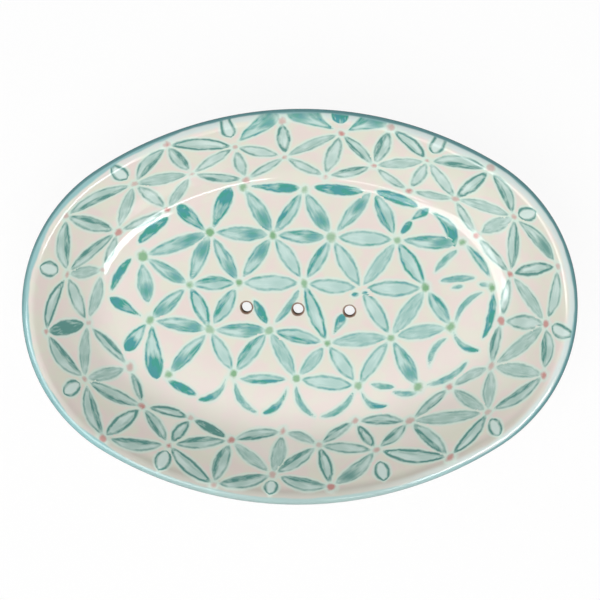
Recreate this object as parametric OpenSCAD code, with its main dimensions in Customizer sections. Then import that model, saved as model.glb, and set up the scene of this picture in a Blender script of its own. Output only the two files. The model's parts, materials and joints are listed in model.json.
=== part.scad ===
// Oval soap dish in glazed stoneware, with a sloping wall, a flat floor with drain holes and a foot ring.
// Millimetres, +Z up. The origin is the middle of the footprint, on the surface that the dish stands on.

/* [Outline] */
// Length over the rim
dish_length = 140; // [125:1:170]
// Width over the rim
dish_width = 100; // [90:1:115]
// Radius of the two ends as a share of half the width
end_radius_share = 0.84; // [0.78:0.01:0.9]

/* [Wall and floor] */
// Height from the table to the top of the lip
dish_height = 25; // [21:0.5:32]
// Thickness of the wall, and so of its rounded lip
wall_t = 4; // [3:0.1:5]
// Thickness of the floor
floor_t = 4.5; // [3.5:0.1:6]
// How far the wall slopes in from the rim before it meets the floor
wall_reach = 18; // [15:0.5:20]
// Radius of the hollow curve that runs the wall into the floor
hollow_r = 12; // [6:0.5:14]
// Radius of the heel, the curve under that hollow
heel_r = 8; // [4:0.5:10]

/* [Foot ring] */
// Height of the foot ring
foot_h = 4; // [3:0.5:6]
// Thickness of the foot ring
foot_t = 4.2; // [3:0.1:5]
// Radius of the foot ring's lower edges
foot_edge_r = 0.8; // [0.3:0.1:1.2]
// Radius of the flare that the foot ring spreads to under the floor
foot_flare_r = 1.1; // [0.5:0.1:1.5]
// Flat left between the heel's curve and the foot ring's flare
foot_setback = 0.6; // [0.2:0.1:1.5]

/* [Drain holes] */
// Number of drain holes in the row
hole_count = 3; // [1:1:5]
// Diameter of a drain hole
hole_d = 2.7; // [2:0.1:5]
// Distance from one drain hole to the next
hole_pitch = 13.3; // [9:0.1:16]
// Width of the softened edge at each end of a drain hole
hole_edge = 0.5; // [0.2:0.1:1]
// How far the hand-punched row is turned from the long axis, in degrees
row_turn = -3; // [-6:0.5:6]
// How far the middle of the row lies along the dish from its centre
row_shift_x = -0.8; // [-3:0.1:3]
// How far the middle of the row lies across the dish from its centre
row_shift_y = -1.6; // [-3:0.1:3]

/* [Hidden] */

$fn = 96;
arc_step = 9;
overrun = 1;
glaze_color = "#C9DDD2";
clay_color = "#B98E6E";

// The outline is an oval of four arcs that meet in tangents: an end arc centred on the long axis at each
// end, and a side arc centred on the short axis for each side.
half_length = dish_length / 2;
half_width = dish_width / 2;
end_r = end_radius_share * half_width;
end_centre = half_length - end_r;
side_r = (pow(end_centre, 2) + pow(half_width, 2) - pow(end_r, 2)) / (2 * (half_width - end_r));
side_centre = side_r - half_width;

// Sections are drawn as [inset, height], where the inset is measured in from the rim, square to it.
lip_r = wall_t / 2;
lip_centre = [lip_r, dish_height - lip_r];
floor_z = foot_h + floor_t;
corner_run = wall_reach - lip_centre[0];
corner_drop = lip_centre[1] - floor_z;
wall_slope = atan2(corner_drop, corner_run) + asin(lip_r / norm([corner_run, corner_drop]));
outer_tangent = lip_centre - lip_r * [sin(wall_slope), cos(wall_slope)];
heel_inset = outer_tangent[0] + (outer_tangent[1] - foot_h) / tan(wall_slope);
hollow_end = wall_reach + hollow_r * tan(wall_slope / 2);
heel_end = heel_inset + heel_r * tan(wall_slope / 2);
foot_inset = heel_end + foot_setback + foot_flare_r + foot_t / 2;
floor_inset = max(hollow_end, heel_end) + 2 * overrun;

// Points of an arc in a section, from one angle to another, with none wider apart than the arc step.
function arc(centre, r, from, to) =
    let (steps = ceil(abs(to - from) / arc_step))
    [for (i = [0:steps]) let (a = from + (to - from) * i / steps) centre + r * [cos(a), sin(a)]];

// Lip, inner wall, hollow, floor, heel and outer wall, cut off at an inset inside the flat floor.
function wall_section(inner) = concat(
    arc(lip_centre, lip_r, 270 - wall_slope, 180),
    arc(lip_centre, lip_r, 180, 90),
    arc(lip_centre, lip_r, 90, 90 - wall_slope),
    arc([hollow_end, floor_z + hollow_r], hollow_r, 270 - wall_slope, 270),
    [[inner, floor_z], [inner, foot_h]],
    arc([heel_end, foot_h + heel_r], heel_r, 270, 270 - wall_slope)
);

// Flat on the table, rounded at its lower edges and flared where it is joined to the underside.
function foot_section() = let (
    half_t = foot_t / 2,
    outside = foot_inset - half_t,
    inside = foot_inset + half_t
) concat(
    arc([outside - foot_flare_r, foot_h - foot_flare_r], foot_flare_r, 90, 0),
    arc([outside + foot_edge_r, foot_edge_r], foot_edge_r, 180, 270),
    arc([inside - foot_edge_r, foot_edge_r], foot_edge_r, 270, 360),
    arc([inside + foot_flare_r, foot_h - foot_flare_r], foot_flare_r, 180, 90)
);

// A section turned about the centre of one arc of the outline.
module turned(section, arc_r) {
    rotate([0, 0, 180])
        rotate_extrude()
            polygon([for (p = section) [arc_r - p[0], p[1]]]);
}

// Keeps the wedge of a turned section that lies in its own arc, between the two lines of centres.
module wedge(points) {
    intersection() {
        children();
        translate([0, 0, -overrun])
            linear_extrude(dish_height + 2 * overrun)
                polygon(points);
    }
}

// Sweeps one section round the end arcs and another round the side arcs. Each pair of neighbours shares a
// plane through both of their centres, so the surfaces meet in a smooth line.
module swept(end_section, side_section) {
    reach = 2;
    far = [end_centre * (1 + reach), side_centre * reach];
    for (side = [0, 1]) {
        mirror([side, 0, 0])
            wedge([[end_centre, 0], [far[0], -far[1]], far])
                translate([end_centre, 0, 0])
                    turned(end_section, end_r);
        mirror([0, side, 0])
            wedge([[0, -side_centre], far, [-far[0], far[1]]])
                translate([0, -side_centre, 0])
                    rotate([0, 0, 90])
                        turned(side_section, side_r);
    }
}

// The middle of the floor. It runs a little way into the side arcs, which stop at the given inset, and into
// the end arcs, which reach their own centres.
module floor_plate(inset) {
    end_reach = end_r - inset + overrun / 2;
    half_span = end_centre + end_reach * end_centre / (side_r - end_r);
    translate([0, 0, foot_h])
        linear_extrude(floor_t)
            intersection() {
                translate([0, -side_centre])
                    circle(r = side_r - inset + overrun);
                translate([0, side_centre])
                    circle(r = side_r - inset + overrun);
                square([2 * half_span, dish_width], center = true);
            }
}

// A round hole through the floor whose two edges are softened.
module drain_hole() {
    edge_d = hole_d + 2 * hole_edge;
    translate([0, 0, foot_h - overrun])
        cylinder(d = hole_d, h = floor_t + 2 * overrun);
    translate([0, 0, floor_z - hole_edge])
        cylinder(d1 = hole_d, d2 = edge_d + 2 * overrun, h = hole_edge + overrun);
    translate([0, 0, foot_h - overrun])
        cylinder(d1 = edge_d + 2 * overrun, d2 = hole_d, h = hole_edge + overrun);
}

module drain_row() {
    translate([row_shift_x, row_shift_y, 0])
        rotate([0, 0, row_turn])
            for (i = [0:hole_count - 1])
                translate([(i - (hole_count - 1) / 2) * hole_pitch, 0, 0])
                    drain_hole();
}

module dish_body() {
    color(glaze_color)
        difference() {
            union() {
                swept(wall_section(end_r), wall_section(floor_inset));
                floor_plate(floor_inset);
            }
            drain_row();
        }
}

module foot_ring() {
    color(clay_color)
        swept(foot_section(), foot_section());
}

dish_body();
foot_ring();
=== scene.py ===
import json
import math
import random
from collections import namedtuple

import bmesh
import bpy
from mathutils import Matrix, Vector, noise
from mathutils.bvhtree import BVHTree
from mathutils.kdtree import KDTree

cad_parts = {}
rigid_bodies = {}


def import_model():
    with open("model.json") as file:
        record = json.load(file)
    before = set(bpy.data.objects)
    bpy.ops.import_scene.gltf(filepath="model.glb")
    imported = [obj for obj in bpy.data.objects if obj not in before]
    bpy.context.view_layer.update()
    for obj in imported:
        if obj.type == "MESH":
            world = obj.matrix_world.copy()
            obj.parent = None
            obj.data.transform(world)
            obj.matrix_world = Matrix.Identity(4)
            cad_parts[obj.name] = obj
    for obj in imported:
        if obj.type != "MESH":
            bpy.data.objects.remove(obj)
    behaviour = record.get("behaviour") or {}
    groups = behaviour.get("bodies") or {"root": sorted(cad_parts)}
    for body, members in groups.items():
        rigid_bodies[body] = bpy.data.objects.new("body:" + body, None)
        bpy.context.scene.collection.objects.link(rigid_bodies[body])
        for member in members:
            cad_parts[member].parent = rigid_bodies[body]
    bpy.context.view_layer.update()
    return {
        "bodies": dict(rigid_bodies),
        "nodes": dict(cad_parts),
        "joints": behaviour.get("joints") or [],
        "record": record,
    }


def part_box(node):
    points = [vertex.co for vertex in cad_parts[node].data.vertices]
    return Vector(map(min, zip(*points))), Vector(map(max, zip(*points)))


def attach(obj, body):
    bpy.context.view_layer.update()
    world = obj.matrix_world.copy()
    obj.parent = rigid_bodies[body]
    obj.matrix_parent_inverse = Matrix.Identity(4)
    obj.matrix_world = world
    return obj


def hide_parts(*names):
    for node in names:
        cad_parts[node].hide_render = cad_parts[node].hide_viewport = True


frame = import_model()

# Sizes are in millimetres, unless a comment says otherwise, and MM turns them into metres
MM = 0.001
QUARTER = math.pi / 2

# The dish, with the values that its solids were made from
body_low, body_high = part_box("dish_body")
HALF_LENGTH = (body_high.x - body_low.x) / 2 / MM
HALF_WIDTH = (body_high.y - body_low.y) / 2 / MM
DISH_HEIGHT = body_high.z / MM
FOOT_HEIGHT = body_low.z / MM
END_RADIUS_SHARE = 0.84
WALL_THICKNESS = 4
FLOOR_THICKNESS = 4.5
WALL_REACH = 18
HOLLOW_RADIUS = 12
HEEL_RADIUS = 8
FOOT_THICKNESS = 4.2
FOOT_EDGE_RADIUS = 0.8
FOOT_FLARE_RADIUS = 1.1
FOOT_SETBACK = 0.6
HOLE_COUNT = 3
HOLE_DIAMETER = 2.7
HOLE_PITCH = 13.3
HOLE_EDGE = 0.5
ROW_TURN = -3
ROW_SHIFT = (-0.8, -1.6)

# The outline is an oval of four tangent arcs
END_RADIUS = END_RADIUS_SHARE * HALF_WIDTH
END_CENTRE = HALF_LENGTH - END_RADIUS
SIDE_RADIUS = (END_CENTRE**2 + HALF_WIDTH**2 - END_RADIUS**2) / (2 * (HALF_WIDTH - END_RADIUS))
SIDE_CENTRE = SIDE_RADIUS - HALF_WIDTH
END_HALF_ANGLE = math.atan2(SIDE_CENTRE, END_CENTRE)
SIDE_ANGLE = math.pi - 2 * END_HALF_ANGLE

# The section, as (inset from the rim, height)
LIP_RADIUS = WALL_THICKNESS / 2
LIP_CENTRE = (LIP_RADIUS, DISH_HEIGHT - LIP_RADIUS)
FLOOR_Z = FOOT_HEIGHT + FLOOR_THICKNESS
CORNER_RUN = WALL_REACH - LIP_CENTRE[0]
CORNER_DROP = LIP_CENTRE[1] - FLOOR_Z
CORNER_SLOPE = math.atan2(CORNER_DROP, CORNER_RUN)
WALL_SLOPE = CORNER_SLOPE + math.asin(LIP_RADIUS / math.hypot(CORNER_RUN, CORNER_DROP))
HOLLOW_END = WALL_REACH + HOLLOW_RADIUS * math.tan(WALL_SLOPE / 2)
OUTER_TANGENT = (
    LIP_CENTRE[0] - LIP_RADIUS * math.sin(WALL_SLOPE),
    LIP_CENTRE[1] - LIP_RADIUS * math.cos(WALL_SLOPE),
)
HEEL_INSET = OUTER_TANGENT[0] + (OUTER_TANGENT[1] - FOOT_HEIGHT) / math.tan(WALL_SLOPE)
HEEL_END = HEEL_INSET + HEEL_RADIUS * math.tan(WALL_SLOPE / 2)

# How fine the meshes are
LIP_STEP = 0.3
INNER_STEP = 0.6
OUTER_STEP = 1.6
FOOT_STEP = 0.2
HOLE_STEP = 0.1
END_STEPS = 56
SIDE_STEPS = 136
HOLE_SIDES = 48
FLOOR_RINGS = 44
UNDERSIDE_RINGS = 8
SAME_HEIGHT = 0.1
SAME_POINT = 0.01
CUTTER_OVERRUN = 1

# The waves that pressing and sponging by hand leave in the surface, as (length, height), the inset from the
# rim where they start, and the stretch where they fade in
WAVES = ((22, 0.12), (7, 0.03))
WAVES_START = 1
WAVES_FADE = 4

# The view, read from the photograph: places in its pixels, and angles in degrees
PHOTO_SIZE = 600
PIXELS_PER_MM = 3.98
DISH_CENTRE_PX = (298.3, 308.5)
RIM_PLANE_Z = 24
CAMERA_DISTANCE = 600
CAMERA_LEAN = (2.5, 5.0)
DISH_TURN = 1.17
SENSOR = 36


def arc(centre, radius, start, end, step):
    """Points of an arc in a section, no wider apart than the step."""
    count = math.ceil(abs(end - start) * radius / step)
    angles = [start + (end - start) * i / count for i in range(count + 1)]
    return [(centre[0] + radius * math.cos(a), centre[1] + radius * math.sin(a)) for a in angles]


def straight(start, end, step):
    """The points between two ends of a straight stretch, without the ends themselves."""
    count = math.ceil(math.dist(start, end) / step)
    return [
        (start[0] + (end[0] - start[0]) * i / count, start[1] + (end[1] - start[1]) * i / count)
        for i in range(1, count)
    ]


def body_section():
    """From the flat underside round the heel, the outer wall, the lip and the inner wall to the floor."""
    heel_centre = (HEEL_END, FOOT_HEIGHT + HEEL_RADIUS)
    heel = arc(heel_centre, HEEL_RADIUS, -QUARTER, -QUARTER - WALL_SLOPE, OUTER_STEP)
    lip = arc(LIP_CENTRE, LIP_RADIUS, 3 * QUARTER - WALL_SLOPE, QUARTER - WALL_SLOPE, LIP_STEP)
    hollow_centre = (HOLLOW_END, FLOOR_Z + HOLLOW_RADIUS)
    hollow = arc(hollow_centre, HOLLOW_RADIUS, -QUARTER - WALL_SLOPE, -QUARTER, INNER_STEP)
    outer = straight(heel[-1], lip[0], OUTER_STEP)
    inner = straight(lip[-1], hollow[0], INNER_STEP)
    return heel + outer + lip + inner + hollow


def foot_section():
    """Flat where it stands, rounded at its lower edges and flared where it meets the underside."""
    outside = HEEL_END + FOOT_SETBACK + FOOT_FLARE_RADIUS
    inside = outside + FOOT_THICKNESS
    flare_z = FOOT_HEIGHT - FOOT_FLARE_RADIUS
    outer_flare = (outside - FOOT_FLARE_RADIUS, flare_z)
    outer_edge = (outside + FOOT_EDGE_RADIUS, FOOT_EDGE_RADIUS)
    inner_edge = (inside - FOOT_EDGE_RADIUS, FOOT_EDGE_RADIUS)
    inner_flare = (inside + FOOT_FLARE_RADIUS, flare_z)
    return (
        arc(outer_flare, FOOT_FLARE_RADIUS, QUARTER, 0, FOOT_STEP)
        + arc(outer_edge, FOOT_EDGE_RADIUS, 2 * QUARTER, 3 * QUARTER, FOOT_STEP)
        + arc(inner_edge, FOOT_EDGE_RADIUS, -QUARTER, 0, FOOT_STEP)
        + arc(inner_flare, FOOT_FLARE_RADIUS, 2 * QUARTER, QUARTER, FOOT_STEP)
    )


def hole_section():
    """Half the section of a drain hole's cutter, as (distance from its axis, height). It flares at both faces
    of the floor, so that the edges of the hole come out rounded, as the sponge leaves them."""
    edge = HOLE_DIAMETER / 2 + HOLE_EDGE
    low, high = FOOT_HEIGHT - CUTTER_OVERRUN, FLOOR_Z + CUTTER_OVERRUN
    lower = arc((edge, FOOT_HEIGHT + HOLE_EDGE), HOLE_EDGE, -QUARTER, -2 * QUARTER, HOLE_STEP)
    upper = arc((edge, FLOOR_Z - HOLE_EDGE), HOLE_EDGE, 2 * QUARTER, QUARTER, HOLE_STEP)
    return [(0, low), (edge, low)] + lower + upper + [(edge, high), (0, high)]


def sweep(section, closed=False):
    """Spins a section round the four arcs of the outline, one after another, and joins its ends."""
    mesh = bmesh.new()
    points = [mesh.verts.new(((HALF_LENGTH - inset) * MM, 0, z * MM)) for inset, z in section]
    ends = points[1:] + points[:1] if closed else points[1:]
    front = points + [mesh.edges.new(pair) for pair in zip(points, ends)]
    right, left = Vector((END_CENTRE * MM, 0, 0)), Vector((-END_CENTRE * MM, 0, 0))
    near, far = Vector((0, SIDE_CENTRE * MM, 0)), Vector((0, -SIDE_CENTRE * MM, 0))
    arcs = (
        (right, END_HALF_ANGLE, END_STEPS),
        (far, SIDE_ANGLE, SIDE_STEPS),
        (left, 2 * END_HALF_ANGLE, 2 * END_STEPS),
        (near, SIDE_ANGLE, SIDE_STEPS),
        (right, END_HALF_ANGLE, END_STEPS),
    )
    for centre, angle, steps in arcs:
        turned = bmesh.ops.spin(mesh, geom=front, cent=centre, axis=(0, 0, 1), angle=angle, steps=steps)
        front = turned["geom_last"]
    bmesh.ops.remove_doubles(mesh, verts=mesh.verts, dist=SAME_POINT * MM)
    return mesh


def fill_flat(mesh, z, rings):
    """Closes a flat oval opening with rings that shrink on to a line along its middle."""
    edges = [e for e in mesh.edges if e.is_boundary and abs(e.verts[0].co.z - z * MM) < SAME_HEIGHT * MM]
    half_x = max(v.co.x for e in edges for v in e.verts)
    half_y = max(v.co.y for e in edges for v in e.verts)
    shrink = half_y / half_x
    for ring in range(rings):
        grown = bmesh.ops.extrude_edge_only(mesh, edges=edges)["geom"]
        verts = [g for g in grown if isinstance(g, bmesh.types.BMVert)]
        edges = [g for g in grown if isinstance(g, bmesh.types.BMEdge)]
        before, after = ring / rings, (ring + 1) / rings
        scale = ((1 - after * shrink) / (1 - before * shrink), (1 - after) / (1 - before), 1)
        bmesh.ops.scale(mesh, vec=scale, verts=verts)
    bmesh.ops.remove_doubles(mesh, verts=mesh.verts, dist=SAME_POINT * MM)


def finished_object(mesh, name, material):
    """Makes an object of a bmesh, smooth all over, with its faces outwards."""
    bmesh.ops.recalc_face_normals(mesh, faces=mesh.faces)
    data = bpy.data.meshes.new(name)
    mesh.to_mesh(data)
    mesh.free()
    data.polygons.foreach_set("use_smooth", [True] * len(data.polygons))
    data.materials.append(material)
    piece = bpy.data.objects.new(name, data)
    bpy.context.scene.collection.objects.link(piece)
    return piece


def hole_places():
    """The middles of the drain holes, in metres."""
    turn = math.radians(ROW_TURN)
    x, y = ROW_SHIFT
    reaches = [(i - (HOLE_COUNT - 1) / 2) * HOLE_PITCH for i in range(HOLE_COUNT)]
    return [Vector((x + r * math.cos(turn), y + r * math.sin(turn), 0)) * MM for r in reaches]


def hole_cutter(material):
    """One object that fills all the drain holes."""
    mesh = bmesh.new()
    for place in hole_places():
        points = [mesh.verts.new((place.x + r * MM, place.y, z * MM)) for r, z in hole_section()]
        edges = [mesh.edges.new(pair) for pair in zip(points, points[1:])]
        bmesh.ops.spin(
            mesh, geom=points + edges, cent=place, axis=(0, 0, 1), angle=math.tau,
            steps=HOLE_SIDES, use_merge=True,
        )
    bmesh.ops.remove_doubles(mesh, verts=mesh.verts, dist=SAME_POINT * MM)
    return finished_object(mesh, "hole_cutter", material)


def drill(piece):
    """Cuts the row of drain holes as one boolean."""
    cutter = hole_cutter(piece.data.materials[0])
    cut = piece.modifiers.new("drain_holes", "BOOLEAN")
    cut.operation = "DIFFERENCE"
    cut.solver = "EXACT"
    cut.object = cutter
    result = bpy.data.meshes.new_from_object(piece.evaluated_get(bpy.context.evaluated_depsgraph_get()))
    piece.modifiers.clear()
    piece.data = result
    bpy.data.objects.remove(cutter)


# The hand-painted crossings where petals meet, in pixels of the photograph. The floor's are in rows from the
# far side to the near side, and each row starts at the given column of a triangular lattice.
FLOOR_ROWS_PX = (
    (0, ((178, 205), (243, 187), (304, 190), (373, 190), (428, 210))),
    (-1, ((143, 256), (210, 232), (273, 235), (332, 237), (397, 240), (462, 243))),
    (-2, ((109, 295), (189, 285), (239, 283), (304, 283), (361, 288), (426, 288), (492, 287))),
    (-2, ((150, 320), (210, 330), (269, 330), (327, 343), (391, 337), (451, 327), (479, 350))),
    (-3, ((128, 347), (168, 375), (234, 374), (296, 379), (358, 386), (418, 387), (469, 362))),
)

# How each petal that leaves a crossing is painted, by a letter of STYLES or NO_PETAL: first those along the
# row, then those to the near side and right, then those to the near side and left
NO_PETAL = "."
LATTICE_STEPS = ((1, 0), (0, 1), (-1, 1))
FLOOR_STYLES = (
    (".....", ".DDc.", "..cd."),
    ("DDCaC.", "CCaab.", ".ddce."),
    (".caaa..", ".b.bac.", ".Cc..e."),
    ("CCcee..", ".aeaC..", ".Ccea.."),
    ("...a...", ".......", "......."),
)

# The crossings without a dot, as (column, row)
BARE_CROSSINGS = {(0, 0), (4, 0), (-2, 2), (4, 3), (-3, 4), (3, 4), (3, 0), (2, 2)}

# Strokes laid freely round the edge of the floor, beside the holes and under the far lip: from and to, in
# pixels, then half the width and the bow away from the middle of the dish, both in millimetres, and the style
FREE_STROKES_PX = (
    ((177, 205), (206, 231), 1.75, 0.3, "h"),
    ((231, 188), (213, 229), 2.0, 0.2, "h"),
    ((138, 243), (169, 217), 1.35, 0.3, "s"),
    ((251, 186), (300, 188), 1.25, -0.2, "H"),
    ((314, 187), (363, 192), 1.4, -0.1, "s"),
    ((376, 191), (418, 206), 1.45, 0, "s"),
    ((429, 209), (411, 220), 1.1, 0, "h"),
    ((412, 221), (401, 234), 0.85, 0, "s"),
    ((430, 211), (455, 247), 1.5, 1.6, "H"),
    ((131, 258), (111, 291), 1.0, 0.5, "s"),
    ((142, 263), (148, 303), 2.0, 0, "D"),
    ((110, 298), (141, 316), 1.4, 0, "h"),
    ((146, 324), (126, 351), 1.85, 0.2, "T"),
    ((152, 326), (157, 379), 2.25, 0.4, "T"),
    ((168, 380), (197, 395), 1.05, 0.2, "s"),
    ((226, 379), (199, 400), 0.9, 1.6, "K"),
    ((235, 383), (257, 413), 0.8, 1.4, "k"),
    ((287, 388), (263, 414), 0.8, 1.2, "K"),
    ((296, 386), (315, 417), 0.7, 1.4, "k"),
    ((354, 392), (321, 417), 0.75, 1.4, "k"),
    ((361, 388), (387, 406), 0.8, 2.1, "K"),
    ((239, 379), (286, 379), 1.2, 0, "c"),
    ((371, 384), (394, 387), 0.7, 0.2, "k"),
    ((393, 392), (418, 392), 0.65, 0.5, "k"),
    ((427, 385), (467, 362), 0.75, 1.2, "k"),
    ((446, 338), (429, 367), 0.65, -1.2, "k"),
    ((453, 330), (479, 351), 0.8, -1.6, "K"),
    ((483, 292), (455, 323), 0.65, -1.4, "k"),
    ((493, 293), (483, 338), 0.95, 0.8, "s"),
    ((457, 250), (435, 272), 0.75, -0.3, "k"),
    ((441, 281), (475, 278), 0.8, 0.2, "k"),
    ((452, 288), (463, 286), 0.5, 0, "k"),
    ((479, 284), (491, 286), 0.55, 0, "k"),
    ((466, 245), (490, 277), 1.0, 0.4, "c"),
    ((351, 295), (359, 294), 0.5, 0, "s"),
    ((362, 293), (368, 292), 0.4, 0, "s"),
    ((254, 300), (267, 324), 1.1, 0, "s"),
    ((299, 290), (275, 323), 0.8, -0.4, "k"),
    ((344, 314), (334, 333), 1.15, 0, "h"),
    ((333, 129), (287, 113), 1.8, 1.1, "C"),
    ((348, 131), (387, 122), 1.6, 1.4, "C"),
    ((239, 141), (279, 115), 2.1, 0.7, "C"),
)

# The border's crossings run clockwise from the left end, in four rings from the rim inwards
RINGS_PX = {
    "outer": (
        (66, 216), (167, 145), (282, 121), (391, 127), (491, 168), (558, 266),
        (544, 375), (450, 457), (331, 487), (213, 485), (103, 438), (46, 332),
    ),
    "middle": (
        (67, 274), (134, 184), (235, 147), (341, 133), (428, 161), (514, 217),
        (546, 324), (488, 412), (376, 450), (273, 475), (169, 445), (85, 379),
    ),
    "lower": (
        (118, 232), (192, 174), (285, 157), (374, 166), (455, 199), (510, 274),
        (491, 366), (410, 421), (319, 445), (231, 440), (143, 406), (88, 323),
    ),
    "inner": (
        (167, 210), (246, 180), (325, 177), (409, 191), (476, 236), (501, 321),
        (450, 387), (355, 421), (283, 431), (191, 418), (130, 367), (103, 270),
    ),
}

# The seeds fill the corners between the middle ring and the lip: where each has its middle, in pixels, half
# its length, in millimetres, and its style. Those of one style are in the floor's colours.
FLOOR_COLOURED_SEED = "s"
SEEDS_PX = (
    ((49, 269), 3.1, "o"), ((120, 174), 2.9, "o"), ((228, 130), 2.9, "o"), ((340, 115), 2.0, "s"),
    ((437, 146), 2.9, "o"), ((527, 214), 2.9, "o"), ((560, 331), 3.0, "o"), ((495, 427), 2.9, "o"),
    ((382, 471), 3.1, "o"), ((271, 487), 2.2, "o"), ((163, 460), 3.1, "o"), ((72, 388), 3.0, "o"),
)

# The border's petals, in families that join two rings all the way round, with one letter for each petal. A
# step of 1 leads to the next section's crossing. Half the width and the bow are in millimetres.
BorderFamily = namedtuple("BorderFamily", "start start_step end end_step half_width bow styles")
BORDER_FAMILIES = (
    BorderFamily("middle", 0, "outer", 0, 1.95, 0.7, "cc..cDcbDccc"),
    BorderFamily("outer", 0, "middle", 1, 1.95, 0.7, "cb.bcacbcbcb"),
    BorderFamily("middle", 0, "lower", 0, 1.75, 0, "ceacaceeaece"),
    BorderFamily("lower", 0, "middle", 1, 1.75, 0, "eaeeeeecccca"),
    BorderFamily("outer", 0, "lower", 0, 1.75, 0, "ccbcbbecbcbs"),
    BorderFamily("middle", 1, "inner", 0, 1.7, 0, "aaaaeaebebee"),
    BorderFamily("lower", 0, "inner", 0, 1.4, -0.4, "acaaaaecesce"),
    BorderFamily("inner", 0, "lower", 1, 1.4, -0.4, "eaceaccccbca"),
)

# Ways to load and lay the brush. The numbers run from none to full: the even wash, the line where the paint
# dried at the petal's outline, the band along one side, and the pool and where it lies from one tip (-1) to
# the other (1). The last two are how far the widest place leans from the middle and how the petal narrows to
# its tips: 0.5 is an oval, 1 a lens with pointed tips.
Style = namedtuple("Style", "wash line side pool pool_at lean narrowing")
STYLES = {
    "a": Style(0.15, 0.6, 0.2, 0.3, 0.3, 0, 0.85),
    "b": Style(0.1, 1.15, 0.4, 0.3, -0.4, 0, 0.8),
    "c": Style(0.2, 0.6, 0.9, 0.4, 0.2, 0, 0.85),
    "C": Style(0.15, 0.65, 0.7, 0.85, 0.5, 0.12, 0.8),
    "d": Style(0.25, 0.6, 0.5, 0.9, -0.35, -0.1, 0.85),
    "D": Style(0.25, 0.6, 0.5, 0.9, 0.4, 0.1, 0.85),
    "e": Style(0.4, 0.5, 0.35, 0.45, 0.1, 0, 0.8),
    "s": Style(1, 1, 0, 1.4, 0, 0, 0.65),
    "h": Style(0.6, 0.9, 0, 1.4, -0.55, -0.4, 0.7),
    "H": Style(0.6, 0.9, 0, 1.4, 0.5, 0.4, 0.7),
    "T": Style(0.15, 0.8, 0.3, 1.5, 0.6, 0.35, 0.6),
    "k": Style(0.6, 0.6, 0, 0.8, 0, 0, 0.55),
    "K": Style(0.65, 0.7, 0, 1.3, 0.6, 0.5, 0.45),
    "o": Style(0.05, 1, 0, 0, 0, 0, 0.5),
}

Petal = namedtuple("Petal", "start end up half_width bow dark_side style border")
Dot = namedtuple("Dot", "place radius strength pink")

# The brushwork's sizes, in millimetres. A petal shorter than FULL_SPAN is narrower in proportion.
TIP_GAP = 1.5
FULL_SPAN = 13
PETAL_HALF_WIDTH = 1.85
SEED_HALF_WIDTH = 2.0
DOT_RADIUS = 1.1
FAR_AWAY = 9

# How much the hand varies: the least and the most of each share, and of the bow in millimetres
BRUSH_SEED = 7
TIP_GAP_RANGE = (0.45, 1.25)
PETAL_WIDTH_RANGE = (0.88, 1.1)
SEED_WIDTH_RANGE = (0.85, 1.05)
BOW_RANGE = (-0.25, 0.25)
FLOOR_DOT_RANGES = {"size": (0.7, 1.15), "strength": (0.65, 1)}
BORDER_DOT_RANGES = {"size": (0.55, 0.95), "strength": (0.5, 1)}

# How the mesh meets the brushwork. Faces that hardly face up stay bare. A petal is found by places along its
# middle line, from tip (-1) to tip (1), and takes its streaks from its own slice of a noise.
LEAST_UPWARD = 0.05
SAMPLE_SHARES = (-0.8, -0.4, 0, 0.4, 0.8)
NOISE_SLICE = 7.0
POOL_FLATTENING = 0.5


def camera_axes():
    """The camera's right, up and backward directions, with its slight lean and turn."""
    lean_x, lean_y = (math.tan(math.radians(lean)) for lean in CAMERA_LEAN)
    back = Vector((lean_x, lean_y, 1)).normalized()
    up = (Vector((0, 1, 0)) - back * back.y).normalized()
    right = up.cross(back)
    turn = math.radians(-DISH_TURN)
    return right * math.cos(turn) + up * math.sin(turn), up * math.cos(turn) - right * math.sin(turn), back


def camera_place():
    """Where the camera stands, so that the middle of the dish falls on its pixel of the photograph."""
    right, up, back = camera_axes()
    middle = PHOTO_SIZE / 2
    aim = Vector((0, 0, RIM_PLANE_Z)) + right * (middle - DISH_CENTRE_PX[0]) / PIXELS_PER_MM
    aim += up * (DISH_CENTRE_PX[1] - middle) / PIXELS_PER_MM
    return (aim + back * CAMERA_DISTANCE) * MM


def add_camera():
    """A camera high above the dish, with a little perspective, as in the photograph."""
    right, up, back = camera_axes()
    data = bpy.data.cameras.new("camera")
    data.sensor_width = SENSOR
    data.lens = SENSOR * CAMERA_DISTANCE * PIXELS_PER_MM / PHOTO_SIZE
    camera = bpy.data.objects.new("camera", data)
    camera.matrix_world = Matrix((right, up, back)).transposed().to_4x4()
    camera.location = camera_place()
    bpy.context.scene.collection.objects.link(camera)
    bpy.context.scene.camera = camera


def on_dish(surface, pixel):
    """The point of the dish that shows at a pixel of the photograph, and the way its surface faces there."""
    right, up, back = camera_axes()
    reach = CAMERA_DISTANCE * PIXELS_PER_MM
    middle = PHOTO_SIZE / 2
    ray = right * (pixel[0] - middle) + up * (middle - pixel[1]) - back * reach
    place, normal, _, _ = surface.ray_cast(camera_place(), ray.normalized())
    return place, normal


def lattice_petal(brush, a, b, letter, half_width, bow, border):
    """A petal between two crossings, which stops short of both by about as much as the hand leaves."""
    (start, up), (end, other_up) = a, b
    axis = (end - start).normalized()
    share = min(1, (end - start).length / (FULL_SPAN * MM))
    start = start + axis * TIP_GAP * share * brush.uniform(*TIP_GAP_RANGE) * MM
    end = end - axis * TIP_GAP * share * brush.uniform(*TIP_GAP_RANGE) * MM
    half_width *= share * brush.uniform(*PETAL_WIDTH_RANGE)
    dark_side = -1 if bow > 0 else brush.choice((-1, 1))
    bow += brush.uniform(*BOW_RANGE)
    return Petal(start, end, (up + other_up).normalized(), half_width, bow, dark_side, STYLES[letter], border)


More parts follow.
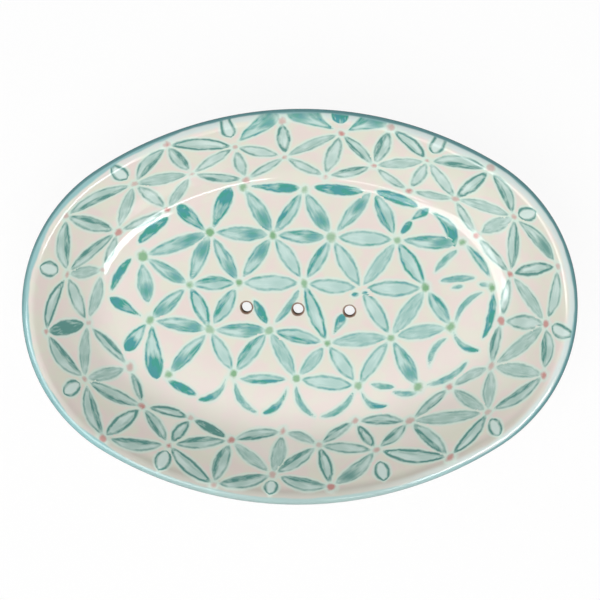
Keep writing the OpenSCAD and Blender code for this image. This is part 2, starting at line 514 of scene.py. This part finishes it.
def seed_petal(brush, surface, foot, pixel, half_length, letter):
    """A small petal under the lip that points at the crossing below it."""
    place, up = on_dish(surface, pixel)
    reach = (foot - place).normalized() * half_length * MM
    half_width = SEED_HALF_WIDTH * brush.uniform(*SEED_WIDTH_RANGE)
    border = 0 if letter == FLOOR_COLOURED_SEED else 1
    return Petal(place - reach, place + reach, up, half_width, 0, 1, STYLES[letter], border)


def dab(brush, place, ranges, pink):
    """A dot at a crossing, about as large and as strong as the hand leaves it."""
    radius = DOT_RADIUS * brush.uniform(*ranges["size"])
    return Dot(place, radius, brush.uniform(*ranges["strength"]), pink)


def floor_brushwork(brush, surface):
    """The lattice petals and free strokes of the floor, with a green dot at most crossings."""
    crossings, letters = {}, {}
    for row, ((first, pixels), styles) in enumerate(zip(FLOOR_ROWS_PX, FLOOR_STYLES)):
        for i, pixel in enumerate(pixels):
            crossings[(first + i, row)] = on_dish(surface, pixel)
            letters[(first + i, row)] = [way[i] for way in styles]
    petals = []
    for (column, row), here in crossings.items():
        for (right, down), letter in zip(LATTICE_STEPS, letters[(column, row)]):
            if letter != NO_PETAL:
                there = crossings[(column + right, row + down)]
                petals.append(lattice_petal(brush, here, there, letter, PETAL_HALF_WIDTH, bow=0, border=0))
    for start_px, end_px, half_width, bow, letter in FREE_STROKES_PX:
        (start, up), (end, _) = on_dish(surface, start_px), on_dish(surface, end_px)
        petals.append(Petal(start, end, up, half_width, bow, 1, STYLES[letter], border=0))
    dotted = [point for place, (point, _) in crossings.items() if place not in BARE_CROSSINGS]
    return petals, [dab(brush, point, FLOOR_DOT_RANGES, pink=0) for point in dotted]


def border_brushwork(brush, surface):
    """The ring of petals on the wall, with rose dots at its crossings, and the seeds under the lip."""
    rings = {name: [on_dish(surface, pixel) for pixel in pixels] for name, pixels in RINGS_PX.items()}
    petals = []
    for family in BORDER_FAMILIES:
        for i, letter in enumerate(family.styles):
            if letter != NO_PETAL:
                start = rings[family.start][(i + family.start_step) % len(family.styles)]
                end = rings[family.end][(i + family.end_step) % len(family.styles)]
                petal = lattice_petal(brush, start, end, letter, family.half_width, family.bow, border=1)
                petals.append(petal)
    for (foot, _), (pixel, half_length, letter) in zip(rings["middle"], SEEDS_PX):
        petals.append(seed_petal(brush, surface, foot, pixel, half_length, letter))
    dotted = [point for ring in rings.values() for point, _ in ring]
    return petals, [dab(brush, point, BORDER_DOT_RANGES, pink=1) for point in dotted]


def petal_frame(petal):
    """The middle of a petal, the directions along it and outwards across it, and half its length."""
    middle = (petal.start + petal.end) / 2
    axis = (petal.end - petal.start).normalized()
    across = petal.up.cross(axis).normalized()
    if across.dot(middle) < 0:
        across.negate()
    return middle, axis, across, (petal.end - petal.start).length / 2 / MM


def measure(petal, frame, point):
    """A point's place along and across a petal and how far it lies inside the outline, in millimetres, its
    place from the pale side (-1) to the dark side (1), and its distance from the pool of paint."""
    middle, axis, across, half_length = frame
    away = (point - middle) / MM
    along = away.dot(axis)
    u = along / half_length
    room = max(0, 1 - u * u)
    v = away.dot(across) - petal.bow * room
    leant = u - petal.style.lean * room
    edge = petal.half_width * max(0, 1 - leant * leant) ** petal.style.narrowing - abs(v)
    if room == 0:
        edge = -math.hypot(v, abs(along) - half_length)
    side = v * petal.dark_side / petal.half_width
    pool = math.hypot(u - petal.style.pool_at, POOL_FLATTENING * v / petal.half_width)
    return along, v, edge, side, pool


def search_tree(places):
    """A tree that finds the nearest of some places, each given with the number that it stands for."""
    tree = KDTree(len(places))
    for place, number in places:
        tree.insert(place, number)
    tree.balance()
    return tree


def petal_tree(petals, frames):
    """A search tree of places along the bowed middle lines of the petals."""
    samples = []
    for number, (petal, (middle, axis, across, half_length)) in enumerate(zip(petals, frames)):
        for share in SAMPLE_SHARES:
            bowed = across * petal.bow * (1 - share**2)
            samples.append((middle + (axis * half_length * share + bowed) * MM, number))
    return search_tree(samples)


def brushwork(mesh):
    """All the petals and dots on a mesh, those of the floor first."""
    shell = bmesh.new()
    shell.from_mesh(mesh)
    surface = BVHTree.FromBMesh(shell)
    shell.free()
    brush = random.Random(BRUSH_SEED)
    floor_petals, floor_dots = floor_brushwork(brush, surface)
    border_petals, border_dots = border_brushwork(brush, surface)
    return floor_petals + border_petals, floor_dots + border_dots


def store(mesh, name, domain, values, kind="FLOAT_VECTOR"):
    """Stores a vector or a number for each corner, face or point of a mesh, where its material reads it."""
    attribute = mesh.attributes.new(name, kind, domain)
    attribute.data.foreach_set("vector" if kind == "FLOAT_VECTOR" else "value", values)


def store_brushwork(mesh):
    """Gives each face the petal and the dot nearest to it, and measures the face's corners in them."""
    petals, dots = brushwork(mesh)
    frames = [petal_frame(petal) for petal in petals]
    near_petals = petal_tree(petals, frames)
    near_dots = search_tree([(dot.place, number) for number, dot in enumerate(dots)])
    places, spots, dot_edges, loads, pools, hues = [], [], [], [], [], []
    for face in mesh.polygons:
        painted = face.normal.z > LEAST_UPWARD
        number = near_petals.find(face.center)[1]
        petal, dot = petals[number], dots[near_dots.find(face.center)[1]]
        for vertex in face.vertices:
            point = mesh.vertices[vertex].co
            along, across, edge, side, pool = measure(petal, frames[number], point)
            places += (along, across, NOISE_SLICE * number)
            spots += (edge if painted else -FAR_AWAY, side, pool)
            dot_edges.append(dot.radius - (point - dot.place).length / MM if painted else -FAR_AWAY)
        loads += (petal.style.wash, petal.style.line, petal.style.side)
        pools += (petal.style.pool, petal.border, 0)
        hues += (dot.strength, dot.pink, 0)
    store(mesh, "petal_place", "CORNER", places)
    store(mesh, "petal_spot", "CORNER", spots)
    store(mesh, "dot_edge", "CORNER", dot_edges, "FLOAT")
    store(mesh, "petal_load", "FACE", loads)
    store(mesh, "petal_pool", "FACE", pools)
    store(mesh, "dot_hue", "FACE", hues)


def rim_inset(place):
    """How far a point lies inside the rim, square to it, in millimetres."""
    x, y = abs(place.x) / MM, abs(place.y) / MM
    if math.atan2(y, x - END_CENTRE) < END_HALF_ANGLE:
        return END_RADIUS - math.hypot(x - END_CENTRE, y)
    return SIDE_RADIUS - math.hypot(x, y + SIDE_CENTRE)


def lip_run(vertex):
    """How far a point lies from the lip's crest along the section, in millimetres, below zero outside it.
    The way runs round the lip's arc and then straight on."""
    across = rim_inset(vertex.co) - LIP_CENTRE[0]
    above = vertex.co.z / MM - LIP_CENTRE[1]
    inside = across > 0 and vertex.normal.z > 0
    angle = min(abs(math.atan2(across, above)), WALL_SLOPE if inside else math.pi - WALL_SLOPE)
    past = math.sqrt(max(0, math.hypot(across, above)**2 - LIP_RADIUS**2))
    return (LIP_RADIUS * angle + past) * (1 if inside else -1)


def wobble(mesh):
    """The slight unevenness of a dish pressed and sponged by hand, which the glaze's reflections show."""
    for vertex in mesh.verts:
        depth = rim_inset(vertex.co)
        if depth > WAVES_START and vertex.normal.z > 0:
            lift = sum(noise.noise(vertex.co / (length * MM)) * height for length, height in WAVES)
            fade = min(1, (depth - WAVES_START) / WAVES_FADE)
            vertex.co -= vertex.normal * abs(lift) * fade * MM


def bearing(azimuth, elevation):
    """The direction that an azimuth and an elevation in degrees give."""
    a, e = math.radians(azimuth), math.radians(elevation)
    return Vector((math.cos(a) * math.cos(e), math.sin(a) * math.cos(e), math.sin(e)))


def linear(hex_code):
    """An sRGB hex colour as the linear values that the sockets take."""
    channels = [int(hex_code[i:i + 2], 16) / 255 for i in (1, 3, 5)]
    return tuple(c / 12.92 if c <= 0.04045 else ((c + 0.055) / 1.055) ** 2.4 for c in channels) + (1,)


def add(tree, kind, inputs=(), **settings):
    """Adds a node with its settings. Inputs are given in order or by name, as values, nodes or outputs."""
    made = tree.nodes.new("ShaderNode" + kind)
    for name, value in settings.items():
        setattr(made, name, value)
    open_sockets = [s for s in made.inputs if s.enabled]
    given = inputs.items() if isinstance(inputs, dict) else enumerate(inputs)
    for key, value in given:
        socket = made.inputs[key] if isinstance(key, str) else open_sockets[key]
        if isinstance(value, bpy.types.Node):
            value = next(s for s in value.outputs if s.enabled)
        if isinstance(value, bpy.types.NodeSocket):
            tree.links.new(value, socket)
        elif value is not None:
            socket.default_value = value
    return made


# The colours of the paints, the glaze and the clay, in sRGB
CREAM_GROUND = "#E3E0D1"
PINKISH_CREAM = "#E8D9D3"
# Painted shade: the greyer colour laid near the crest on the near side
PAINTED_NEAR_LIP_SHADE = "#B9B7AB"
# Painted light: the paler colour laid into the hollow
PAINTED_HOLLOW_LIGHT = "#F6EEE8"
FLOOR_WASH = "#CFE5DF"
FLOOR_TEAL = "#A0C6BF"
FLOOR_DEEP = "#47999E"
FLOOR_DEEP_GREEN = "#3F9D8F"
BORDER_WASH = "#D8E8E3"
BORDER_SAGE = "#A9C6BE"
BORDER_DEEP = "#5B928B"
BLEED = "#D4EADF"
LEAF_GREEN = "#7BAE80"
ROSE = "#C98D88"
LIP_TURQUOISE = "#99C6C7"
# The deeper teal of the band's patches, and also the colour of the painted shade outside the lip's crest
LIP_TEAL_AND_SHADE = "#6C9DA0"
LIP_BLEED = "#D6E6E4"
HOLE_CLAY = "#A08370"
DARK_CLAY = "#7A6050"
FOOT_CLAY = "#B08468"
PALE_FOOT_CLAY = "#C49B7D"
WHITE = "#FFFFFF"
GROUND_WHITE = "#F4F4F4"

# The real sizes of the patterns, in millimetres, and how often the hairs of the brush and the flow of the
# paint change in a millimetre along and across a petal
GRAIN_SIZE = 2.2
BLOTCH_SIZE = 5
PEEL_SIZE = 5
BAND_WANDER_SIZE = 9
BAND_PATCH_SIZE = 14
CLOUD_SIZE = 8
GRIT_SIZE = 0.5
HAIRS_PER_MM = (0.3, 1.1, 1)
FLOW_PER_MM = (0.3, 0.5, 1)
DRIFT_SCALE = 1.6

# The part of each noise that is used
GRAIN_RANGE = (0.2, 0.8)
CONTRAST_RANGE = (0.35, 0.65)
DRIFT_RANGE = (0.4, 0.6)
SPECK_RANGE = (0.62, 0.7)

# What the noises do: the least and the most strength of the streaks and of the outline, and how far an edge
# is ragged, in millimetres
STREAK_STRENGTH = (0.5, 1.35)
OUTLINE_STRENGTH = (0.5, 1.25)
PETAL_RAGGED = (-0.2, 0.2)
DOT_RAGGED = (-0.5, 0.5)

# How the paint lies in petals and dots: where a change starts and ends, and what it leads from and to, where
# that isn't 0 and 1. Edges and the outline are in millimetres inside the shape.
PETAL_EDGE = (-0.3, 0.25)
PETAL_BLEED = (-1.1, -0.1, 0.0, 0.75)
PETAL_OUTLINE = (0.2, 1.1, 1.2, 0.0)
SIDE_BAND = (-0.25, 0.4)
POOL_REACH = (-0.12, 0.62, 1.0, 0.0)
POOL_STREAKS = -0.22
THIN_PAINT = (0.0, 0.45)
THICK_PAINT = (0.45, 1.0)
DOT_EDGE = (-0.45, 0.5)
DOT_BLEED = (-1.6, -0.2, 0.0, 0.65)

# The band round the lip, in the same way. Starts and stops are in millimetres from the lip's crest. Changes
# round the dish are in metres, across it or towards a bearing in degrees.
BAND_FULL_TOWARDS = 42
BAND_FULL = (-25 * MM, 15 * MM, 0.1, 1.0)
BAND_WANDER = (0.3, 0.7, -0.3, 0.3)
BAND_SHIFT = 1.15
BAND_START = (-4.6, -4.2)
BAND_STOP = (-0.3, 0.3, 1.0, 0.0)
BAND_COVER = (-47 * MM, -32 * MM, 0.65, 1.0)
BAND_PATCHES = (0.45, 0.7, 0.0, 0.25)
# The line of painted shade outside the lip's crest: strongest towards a bearing, and stopping short of the
# crest
LIP_SHADE_TOWARDS = 70
LIP_SHADE_FULL = (-35 * MM, 5 * MM, 0.1, 1.0)
LIP_SHADE_STOP = (-1.5, -1.05, 1.0, 0.0)
LIP_BLEED_START = (-3.5, -3.0)
LIP_BLEED_STOP = (0.8, 2.0, 1.0, 0.0)
LIP_BLEED_SHARE = 0.85

# The glaze: painted light that lightens the hollow and painted shade that greys the near lip, in the same
# way, and its surface
HOLLOW_LIGHT_ACROSS = (-35 * MM, 25 * MM, 0.42, 0.08)
HOLLOW_LIGHT_START = (8, 15)
HOLLOW_LIGHT_STOP = (27, 40, 1.0, 0.0)
NEAR_LIP_SHADE_ACROSS = (-45 * MM, -10 * MM, 0.8, 0.0)
NEAR_LIP_SHADE_AT_CREST = (0.5, 4, 1.0, 0.0)
BARE_EDGE_SHARE = 0.85
BARE_EDGE_SOFTNESS = 0.1
BARE_EDGE_RAGGED = 0.15
GLAZE_ROUGHNESS = 0.06
GLAZE_IOR = 1.52
PEEL_STRENGTH = 0.08
PEEL_DEPTH = 0.3

# The bare clay's surface
HOLE_CLAY_ROUGHNESS = 0.8
FOOT_CLAY_ROUGHNESS = 0.85
GRIT_STRENGTH = 0.35
GRIT_DEPTH = 0.15

# The room's brightness as it turns towards the window, whose bearing and elevation are in degrees
WINDOW = (-112, 62)
ROOM_LEVELS = (-0.6, 1.0, 0.4, 0.68)

# The softboxes: bearing and elevation in degrees, size in metres, power in watts, and which rays meet them
Softbox = namedtuple("Softbox", "name azimuth elevation size power diffuse glossy")
SOFTBOX_DISTANCE = 0.7
SOFTBOXES = (
    Softbox("key_softbox", -112, 68, (0.6, 0.6), 2.6, True, False),
    Softbox("right_hand_box", -54, 44, (0.38, 0.2), 2.8, False, True),
    Softbox("right_hand_frame", -80, 32, (0.18, 0.04), 0.25, False, True),
    Softbox("left_hand_box", -142, 46, (0.64, 0.35), 3.4, False, True),
    Softbox("left_hand_curtain", -167, 33, (0.14, 0.2), 0.4, False, True),
    Softbox("left_hand_frame", -105, 32, (0.12, 0.05), 0.08, False, True),
)

# The ground: half its size in metres, its surface, and how much plain white the camera and the glaze see
GROUND_HALF_SIZE = 1.5
GROUND_ROUGHNESS = 0.9
GROUND_GLOW_SHARE = 0.9
REFLECTED_GLOW = 0.1

SMOOTH = {"interpolation_type": "SMOOTHSTEP"}


def new_material(name):
    """A material with its Principled shader ready to be fed."""
    material = bpy.data.materials.new(name)
    material.use_nodes = True
    return material, material.node_tree, material.node_tree.nodes["Principled BSDF"]


def stored(tree, name):
    """The three numbers that the mesh holds under a name, as three outputs."""
    vector = add(tree, "Attribute", attribute_name=name).outputs["Vector"]
    return add(tree, "SeparateXYZ", (vector,)).outputs


def paint_amount(tree, place, flow, edge):
    """How much paint lies at a point of a petal. It is thin in the middle, dries in a line at the outline,
    and gathers along one side and in a pool where the brush was lifted."""
    _, side, pool = stored(tree, "petal_spot")
    wash, line, band = stored(tree, "petal_load")
    pooled, _, _ = stored(tree, "petal_pool")
    hairs = add(tree, "VectorMath", (place, HAIRS_PER_MM), operation="MULTIPLY")
    streaks = add(tree, "TexNoise", {"Vector": hairs, "Scale": 1.0, "Detail": 3.0})
    streaks = add(tree, "MapRange", (streaks, *CONTRAST_RANGE, *STREAK_STRENGTH))
    uneven = add(tree, "TexNoise", {"Vector": flow, "Scale": 1.0, "Detail": 2.0})
    uneven = add(tree, "MapRange", (uneven, *CONTRAST_RANGE, *OUTLINE_STRENGTH))

    side = add(tree, "MapRange", (side, *SIDE_BAND), **SMOOTH)
    side = add(tree, "Math", (side, band), operation="MULTIPLY")
    brushed = add(tree, "Math", (side, wash), operation="MAXIMUM")
    brushed = add(tree, "Math", (brushed, streaks), operation="MULTIPLY")
    pool = add(tree, "Math", (streaks, POOL_STREAKS, pool), operation="MULTIPLY_ADD")
    pool = add(tree, "MapRange", (pool, *POOL_REACH), **SMOOTH)
    pool = add(tree, "Math", (pool, pooled), operation="MULTIPLY")
    outline = add(tree, "MapRange", (edge, *PETAL_OUTLINE), **SMOOTH)
    outline = add(tree, "Math", (outline, line), operation="MULTIPLY")
    outline = add(tree, "Math", (outline, uneven), operation="MULTIPLY")
    gathered = add(tree, "Math", (pool, outline), operation="MAXIMUM")
    return add(tree, "Math", (brushed, gathered), operation="MAXIMUM")


def paint_colour(tree, flow, amount):
    """The colour that an amount of paint gives, deeper where there is more. The floor's deepest colour
    drifts between blue and green, and the border's paints are greyer."""
    _, border, _ = stored(tree, "petal_pool")
    drift = add(tree, "TexNoise", {"Vector": flow, "Scale": DRIFT_SCALE, "Detail": 1.0})
    drift = add(tree, "MapRange", (drift, *DRIFT_RANGE), **SMOOTH)
    sea = add(tree, "Mix", (drift, linear(FLOOR_DEEP), linear(FLOOR_DEEP_GREEN)), data_type="RGBA")
    thin = add(tree, "Mix", (border, linear(FLOOR_WASH), linear(BORDER_WASH)), data_type="RGBA")
    middling = add(tree, "Mix", (border, linear(FLOOR_TEAL), linear(BORDER_SAGE)), data_type="RGBA")
    deep = add(tree, "Mix", (border, sea.outputs[2], linear(BORDER_DEEP)), data_type="RGBA")
    thicker = add(tree, "MapRange", (amount, *THIN_PAINT))
    colour = add(tree, "Mix", (thicker, thin, middling), data_type="RGBA")
    thickest = add(tree, "MapRange", (amount, *THICK_PAINT))
    return add(tree, "Mix", (thickest, colour, deep), data_type="RGBA")


def petal_paint(tree, grain, ground):
    """Petals brushed in one stroke each, over the ground that their colour bleeds into."""
    place = add(tree, "Attribute", attribute_name="petal_place").outputs["Vector"]
    flow = add(tree, "VectorMath", (place, FLOW_PER_MM), operation="MULTIPLY")
    edge, _, _ = stored(tree, "petal_spot")
    ragged = add(tree, "MapRange", (grain, *GRAIN_RANGE, *PETAL_RAGGED))
    edge = add(tree, "Math", (edge, ragged), operation="ADD")
    colour = paint_colour(tree, flow, paint_amount(tree, place, flow, edge))
    bleed = add(tree, "MapRange", (edge, *PETAL_BLEED), **SMOOTH)
    ground = add(tree, "Mix", (bleed, ground, linear(BLEED)), data_type="RGBA")
    inside = add(tree, "MapRange", (edge, *PETAL_EDGE), **SMOOTH)
    return add(tree, "Mix", (inside, ground, colour), data_type="RGBA")


def dot_paint(tree, grain, ground):
    """A dab of green or rose where petals meet, let into the wet paint, so its edge is soft and ragged."""
    edge = add(tree, "Attribute", attribute_name="dot_edge").outputs["Fac"]
    strength, pink, _ = stored(tree, "dot_hue")
    ragged = add(tree, "MapRange", (grain, *GRAIN_RANGE, *DOT_RAGGED))
    edge = add(tree, "Math", (edge, ragged), operation="ADD")
    colour = add(tree, "Mix", (pink, linear(LEAF_GREEN), linear(ROSE)), data_type="RGBA")
    bleed = add(tree, "MapRange", (edge, *DOT_BLEED), **SMOOTH)
    ground = add(tree, "Mix", (bleed, ground, linear(BLEED)), data_type="RGBA")
    cover = add(tree, "MapRange", (edge, *DOT_EDGE), **SMOOTH)
    cover = add(tree, "Math", (cover, strength), operation="MULTIPLY")
    return add(tree, "Mix", (cover, ground, colour), data_type="RGBA")


def lip_band(tree, coords, run):
    """How far a point lies inside the edge of the band round the lip, in millimetres, and how full the brush
    was there. It was full on the far side and the right, where the band is narrow, and emptier on the left
    and the near side, where the band is wider."""
    along = add(tree, "VectorMath", (coords, bearing(BAND_FULL_TOWARDS, 0)), operation="DOT_PRODUCT")
    full = add(tree, "MapRange", (along.outputs["Value"], *BAND_FULL), **SMOOTH)
    wander = add(tree, "TexNoise", {"Vector": coords, "Scale": 1 / (BAND_WANDER_SIZE * MM), "Detail": 2.0})
    wander = add(tree, "MapRange", (wander, *BAND_WANDER))
    edge = add(tree, "Math", (run, wander), operation="ADD")
    return add(tree, "Math", (full, BAND_SHIFT, edge), operation="MULTIPLY_ADD"), full


def lip_bleed(tree, edge, full, ground):
    """The milky rim that a full brush's colour leaves in the ground beside the band, under the petals."""
    bleed = add(tree, "MapRange", (edge, *LIP_BLEED_STOP), **SMOOTH)
    bleed = add(tree, "Math", (bleed, full), operation="MULTIPLY")
    bleed = add(tree, "Math", (bleed, LIP_BLEED_SHARE), operation="MULTIPLY")
    start = add(tree, "MapRange", (edge, *LIP_BLEED_START), **SMOOTH)
    bleed = add(tree, "Math", (bleed, start), operation="MULTIPLY")
    return add(tree, "Mix", (bleed, ground, linear(LIP_BLEED)), data_type="RGBA")


def lip_paint(tree, coords, run, edge, ground):
    """The turquoise band run round the lip, over the petals. It is patchy, carries a line of painted shade
    outside the crest on the far side and the right, and covers less along the near side."""
    stop = add(tree, "MapRange", (edge, *BAND_STOP), **SMOOTH)
    start = add(tree, "MapRange", (run, *BAND_START), **SMOOTH)
    band = add(tree, "Math", (start, stop), operation="MULTIPLY")
    across = add(tree, "SeparateXYZ", (coords,)).outputs["Y"]
    cover = add(tree, "MapRange", (across, *BAND_COVER))
    band = add(tree, "Math", (band, cover), operation="MULTIPLY")
    # A line of painted shade outside the crest, strongest towards the far side and the right
    along = add(tree, "VectorMath", (coords, bearing(LIP_SHADE_TOWARDS, 0)), operation="DOT_PRODUCT")
    full = add(tree, "MapRange", (along.outputs["Value"], *LIP_SHADE_FULL), **SMOOTH)
    dark = add(tree, "MapRange", (run, *LIP_SHADE_STOP), **SMOOTH)
    dark = add(tree, "Math", (dark, full), operation="MULTIPLY")
    patches = add(tree, "TexNoise", {"Vector": coords, "Scale": 1 / (BAND_PATCH_SIZE * MM), "Detail": 3.0})
    patches = add(tree, "MapRange", (patches, *BAND_PATCHES))
    depth = add(tree, "Math", (patches, dark), operation="ADD", use_clamp=True)
    colour = add(tree, "Mix", (depth, linear(LIP_TURQUOISE), linear(LIP_TEAL_AND_SHADE)), data_type="RGBA")
    return add(tree, "Mix", (band, ground, colour), data_type="RGBA")


def hole_distance(tree, coords):
    """How far a point lies from the axis of the nearest drain hole, in metres."""
    flat = add(tree, "VectorMath", (coords, (1, 1, 0)), operation="MULTIPLY")
    nearest = FAR_AWAY
    for place in hole_places():
        away = add(tree, "VectorMath", (flat, place), operation="DISTANCE")
        nearest = add(tree, "Math", (nearest, away), operation="MINIMUM")
    return nearest


def glazed_ground(tree, coords, run):
    """The unpainted ground: cream with pinkish blotches, with painted light that lightens the hollow, most
    along the near side, and painted shade that greys it near the crest on the near side."""
    across = add(tree, "SeparateXYZ", (coords,)).outputs["Y"]
    blotches = add(tree, "TexNoise", {"Vector": coords, "Scale": 1 / (BLOTCH_SIZE * MM), "Detail": 2.0})
    warm = add(tree, "MapRange", (blotches, *CONTRAST_RANGE), **SMOOTH)
    ground = add(tree, "Mix", (warm, linear(CREAM_GROUND), linear(PINKISH_CREAM)), data_type="RGBA")
    # Painted light: the hollow is made paler, most along the near side
    start = add(tree, "MapRange", (run, *HOLLOW_LIGHT_START), **SMOOTH)
    stop = add(tree, "MapRange", (run, *HOLLOW_LIGHT_STOP), **SMOOTH)
    hollow = add(tree, "Math", (start, stop), operation="MULTIPLY")
    pooled = add(tree, "MapRange", (across, *HOLLOW_LIGHT_ACROSS))
    pooled = add(tree, "Math", (pooled, hollow), operation="MULTIPLY")
    ground = add(tree, "Mix", (pooled, ground, linear(PAINTED_HOLLOW_LIGHT)), data_type="RGBA")
    # Painted shade: greyer near the crest on the near side
    thin = add(tree, "MapRange", (across, *NEAR_LIP_SHADE_ACROSS), **SMOOTH)
    away = add(tree, "Math", (run,), operation="ABSOLUTE")
    crest = add(tree, "MapRange", (away, *NEAR_LIP_SHADE_AT_CREST), **SMOOTH)
    thin = add(tree, "Math", (thin, crest), operation="MULTIPLY")
    return add(tree, "Mix", (thin, ground, linear(PAINTED_NEAR_LIP_SHADE)), data_type="RGBA")


def decoration(tree, coords, grain):
    """All that lies under the clear glaze, from the ground up."""
    run = add(tree, "Attribute", attribute_name="lip_run").outputs["Fac"]
    edge, full = lip_band(tree, coords, run)
    colour = lip_bleed(tree, edge, full, glazed_ground(tree, coords, run))
    colour = petal_paint(tree, grain, colour)
    colour = dot_paint(tree, grain, colour)
    return lip_paint(tree, coords, run, edge, colour)


def painted_glaze():
    """Stoneware under a clear gloss glaze: a warm cream ground with painted colours that bleed a little into
    it. The glaze reflects sharply over the soft brushwork, and pulls back from the edge of each hole."""
    material, tree, shader = new_material("hand_painted_clear_glazed_stoneware")
    coords = add(tree, "TexCoord").outputs["Object"]
    grain = add(tree, "TexNoise", {"Vector": coords, "Scale": 1 / (GRAIN_SIZE * MM), "Detail": 2.0})
    colour = decoration(tree, coords, grain)

    reach = BARE_EDGE_RAGGED * MM
    ragged = add(tree, "MapRange", (grain, *GRAIN_RANGE, -reach, reach))
    away = add(tree, "Math", (hole_distance(tree, coords), ragged), operation="ADD")
    rim = (HOLE_DIAMETER / 2 + BARE_EDGE_SHARE * HOLE_EDGE) * MM
    softness = BARE_EDGE_SOFTNESS * MM
    glazed = add(tree, "MapRange", (away, rim - softness, rim + softness), **SMOOTH)
    clay = add(tree, "Mix", (grain, linear(DARK_CLAY), linear(HOLE_CLAY)), data_type="RGBA")
    colour = add(tree, "Mix", (glazed, clay, colour), data_type="RGBA")
    tree.links.new(colour.outputs[2], shader.inputs["Base Color"])
    roughness = add(tree, "MapRange", (glazed, 0.0, 1.0, HOLE_CLAY_ROUGHNESS, GLAZE_ROUGHNESS))
    tree.links.new(roughness.outputs[0], shader.inputs["Roughness"])
    peel = add(tree, "TexNoise", {"Vector": coords, "Scale": 1 / (PEEL_SIZE * MM), "Detail": 1.0})
    bump = add(tree, "Bump", {"Height": peel, "Strength": PEEL_STRENGTH, "Distance": PEEL_DEPTH * MM})
    tree.links.new(bump.outputs[0], shader.inputs["Normal"])
    shader.inputs["IOR"].default_value = GLAZE_IOR
    return material


def bare_clay():
    """Fired stoneware with the glaze wiped off where it stands: matte, a little gritty, with dark specks."""
    material, tree, shader = new_material("bare_fired_stoneware_clay")
    coords = add(tree, "TexCoord").outputs["Object"]
    cloud = add(tree, "TexNoise", {"Vector": coords, "Scale": 1 / (CLOUD_SIZE * MM), "Detail": 4.0})
    cloud = add(tree, "MapRange", (cloud, *CONTRAST_RANGE), **SMOOTH)
    grit = add(tree, "TexNoise", {"Vector": coords, "Scale": 1 / (GRIT_SIZE * MM), "Detail": 3.0})
    colour = add(tree, "Mix", (cloud, linear(FOOT_CLAY), linear(PALE_FOOT_CLAY)), data_type="RGBA")
    specks = add(tree, "MapRange", (grit, *SPECK_RANGE), **SMOOTH)
    colour = add(tree, "Mix", (specks, colour, linear(DARK_CLAY)), data_type="RGBA")
    tree.links.new(colour.outputs[2], shader.inputs["Base Color"])
    shader.inputs["Roughness"].default_value = FOOT_CLAY_ROUGHNESS
    bump = add(tree, "Bump", {"Height": grit, "Strength": GRIT_STRENGTH, "Distance": GRIT_DEPTH * MM})
    tree.links.new(bump.outputs[0], shader.inputs["Normal"])
    return material


def build_dish(glaze):
    """The glazed body: one swept section, its floor and underside closed, the drain holes cut."""
    mesh = sweep(body_section())
    fill_flat(mesh, FLOOR_Z, FLOOR_RINGS)
    fill_flat(mesh, FOOT_HEIGHT, UNDERSIDE_RINGS)
    bmesh.ops.recalc_face_normals(mesh, faces=mesh.faces)
    mesh.normal_update()
    wobble(mesh)
    dish = finished_object(mesh, "glazed_dish", glaze)
    drill(dish)
    store(dish.data, "lip_run", "POINT", [lip_run(vertex) for vertex in dish.data.vertices], "FLOAT")
    store_brushwork(dish.data)
    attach(dish, "root")
    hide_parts("dish_body")


def build_foot(clay):
    """The bare clay ring under the floor, with a smooth mesh of its own."""
    foot = finished_object(sweep(foot_section(), closed=True), "bare_foot_ring", clay)
    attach(foot, "root")
    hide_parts("foot_ring")


def light_room():
    """A pale room, brighter towards a window on the near side. To the camera it is white."""
    world = bpy.data.worlds.new("pale_room")
    world.use_nodes = True
    tree = world.node_tree
    background = tree.nodes["Background"]
    background.inputs["Color"].default_value = linear(WHITE)
    view = add(tree, "TexCoord").outputs["Generated"]
    facing = add(tree, "VectorMath", (view, bearing(*WINDOW)), operation="DOT_PRODUCT").outputs["Value"]
    light = add(tree, "MapRange", (facing, *ROOM_LEVELS))
    path = add(tree, "LightPath")
    level = add(tree, "Mix", (path.outputs["Is Camera Ray"], light, 1.0), data_type="FLOAT")
    tree.links.new(level.outputs[0], background.inputs["Strength"])
    bpy.context.scene.world = world


def place_softboxes():
    """A soft key from the window's side, and boxes and strips of light that only the highlights show."""
    for box in SOFTBOXES:
        away = bearing(box.azimuth, box.elevation)
        data = bpy.data.lights.new(box.name, "AREA")
        data.shape = "RECTANGLE"
        data.size, data.size_y = box.size
        data.energy = box.power
        lamp = bpy.data.objects.new(box.name, data)
        lamp.location = away * SOFTBOX_DISTANCE
        lamp.rotation_euler = away.to_track_quat("Z", "Y").to_euler()
        lamp.visible_diffuse = box.diffuse
        lamp.visible_glossy = box.glossy
        bpy.context.scene.collection.objects.link(lamp)


def lay_ground():
    """The white ground. It shows white to the camera and keeps the dish's soft shadow."""
    mesh = bmesh.new()
    bmesh.ops.create_grid(mesh, x_segments=2, y_segments=2, size=GROUND_HALF_SIZE)
    material, tree, shader = new_material("matte_white_ground")
    shader.inputs["Base Color"].default_value = linear(GROUND_WHITE)
    shader.inputs["Roughness"].default_value = GROUND_ROUGHNESS
    shader.inputs["Specular IOR Level"].default_value = 0.0
    path = add(tree, "LightPath")
    glow = add(tree, "Emission", {"Color": linear(WHITE), "Strength": 1.0})
    share = add(tree, "Math", (path.outputs["Is Camera Ray"], GROUND_GLOW_SHARE), operation="MULTIPLY")
    mix = add(tree, "MixShader", (share, shader, glow))
    dim = add(tree, "Emission", {"Color": linear(WHITE), "Strength": REFLECTED_GLOW})
    mix = add(tree, "MixShader", (path.outputs["Is Glossy Ray"], mix, dim))
    tree.links.new(mix.outputs[0], tree.nodes["Material Output"].inputs["Surface"])
    finished_object(mesh, "white_ground", material)


bpy.context.scene.view_settings.view_transform = "Standard"
add_camera()
light_room()
place_softboxes()
lay_ground()
build_dish(painted_glaze())
build_foot(bare_clay())
